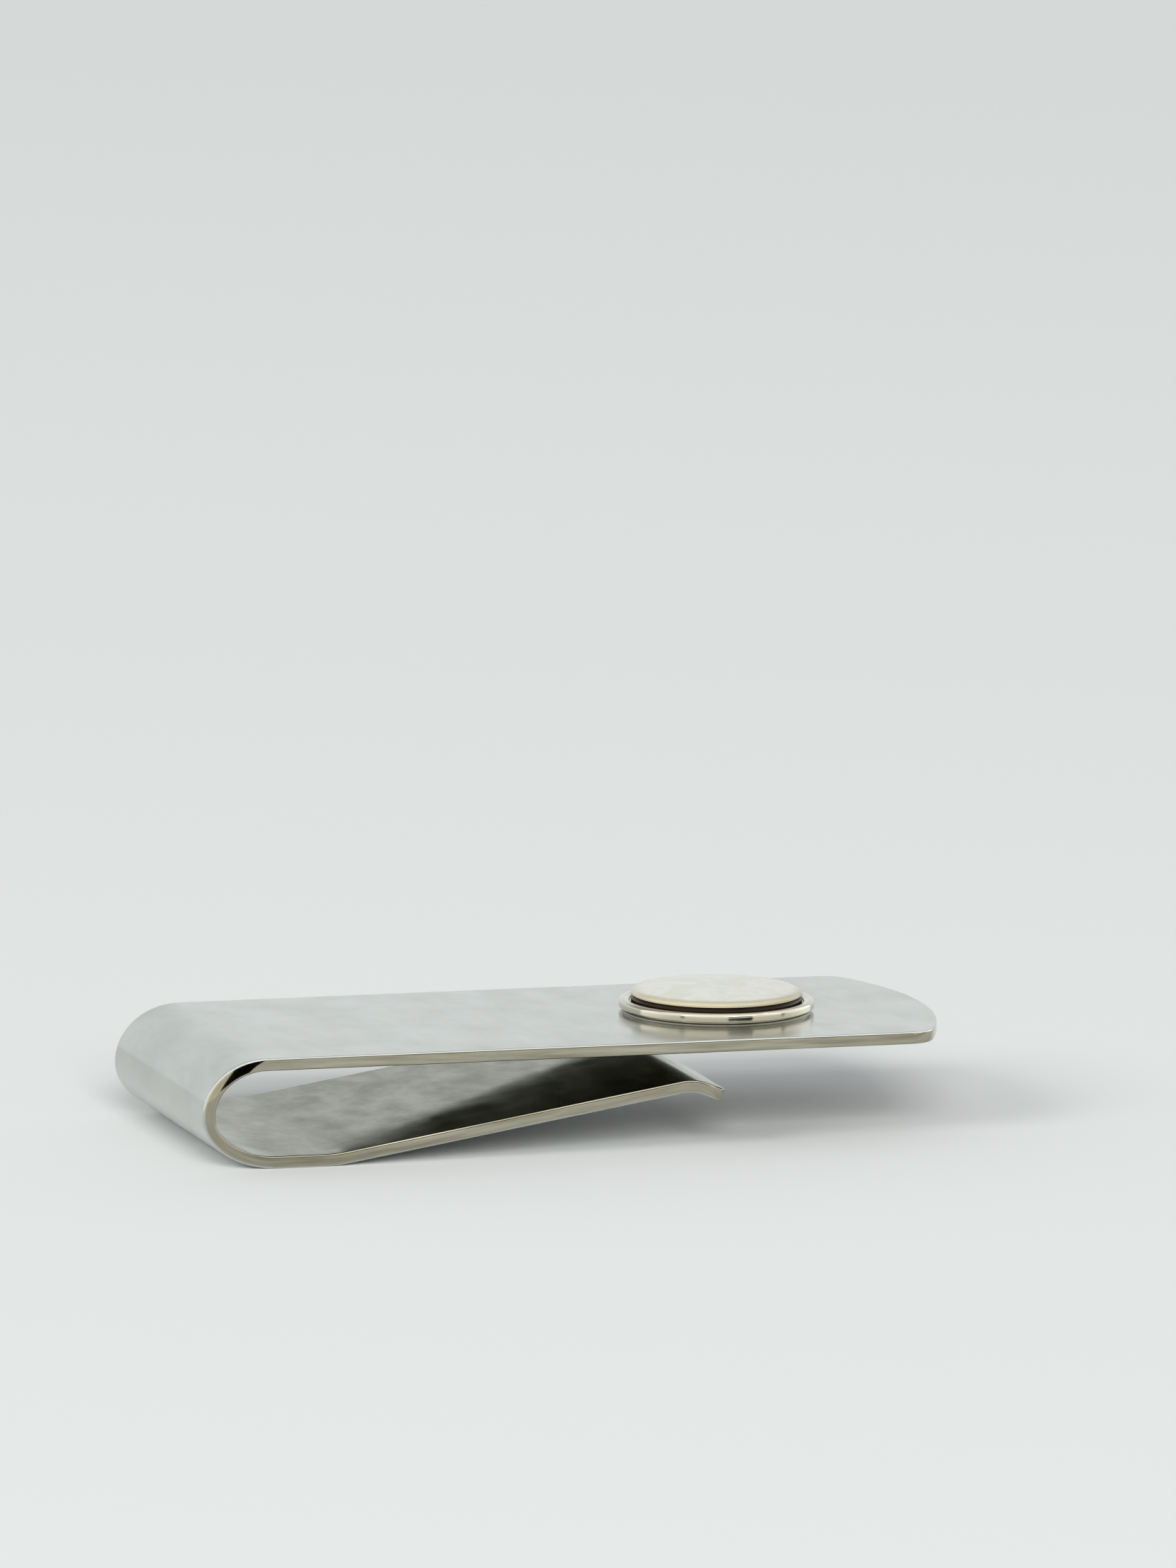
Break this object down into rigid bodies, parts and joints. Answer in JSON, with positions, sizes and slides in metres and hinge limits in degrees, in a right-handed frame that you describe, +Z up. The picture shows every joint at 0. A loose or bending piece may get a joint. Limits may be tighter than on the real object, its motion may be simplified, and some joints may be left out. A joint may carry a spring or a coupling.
{
  "type": "money clip",
  "caption": "Money clip: a polished steel strip folded back into a sprung leg with a crest and lip, and a round mother-of-pearl stud in a rolled rim on the front plate.",
  "frame": {"origin": "middle of the bounding box at its bottom, level with the underside of the heel that the clip rests on", "axes": "+X from the fold to the free end of the front plate, +Y across the strip, +Z up out of the front plate's stud side; the front plate is parallel to XY"},
  "size_m": [0.051, 0.0216, 0.0087],
  "materials": {
    "polished_steel": "polished",
    "plated_rim": "polished",
    "solder": "satin",
    "dark_adhesive": "gloss",
    "mother_of_pearl": "polished"
  },
  "bodies": {
    "heel": {"heel": "polished_steel"},
    "plate": {"front_plate": "polished_steel", "solder_film": "solder", "stud_cup": "plated_rim", "adhesive_bed": "dark_adhesive", "pearl_disc": "mother_of_pearl"},
    "leg": {"gripping_leg": "polished_steel"}
  },
  "joints": [
    {"name": "fold_flex", "type": "hinge", "parent": "heel", "child": "plate", "pos_m": [-0.0251, 0, 0.0035], "axis": [0, -1, 0], "range_deg": [-2.2, 6], "stiffness_Nm_per_rad": 4},
    {"name": "leg_flex", "type": "hinge", "parent": "heel", "child": "leg", "pos_m": [-0.009, 0, 0.00166], "axis": [0, 1, 0], "range_deg": [-1.1, 3]}
  ],
  "couplings": [
    {"joint": "leg_flex", "follows": "fold_flex", "ratio": 0.5}
  ]
}
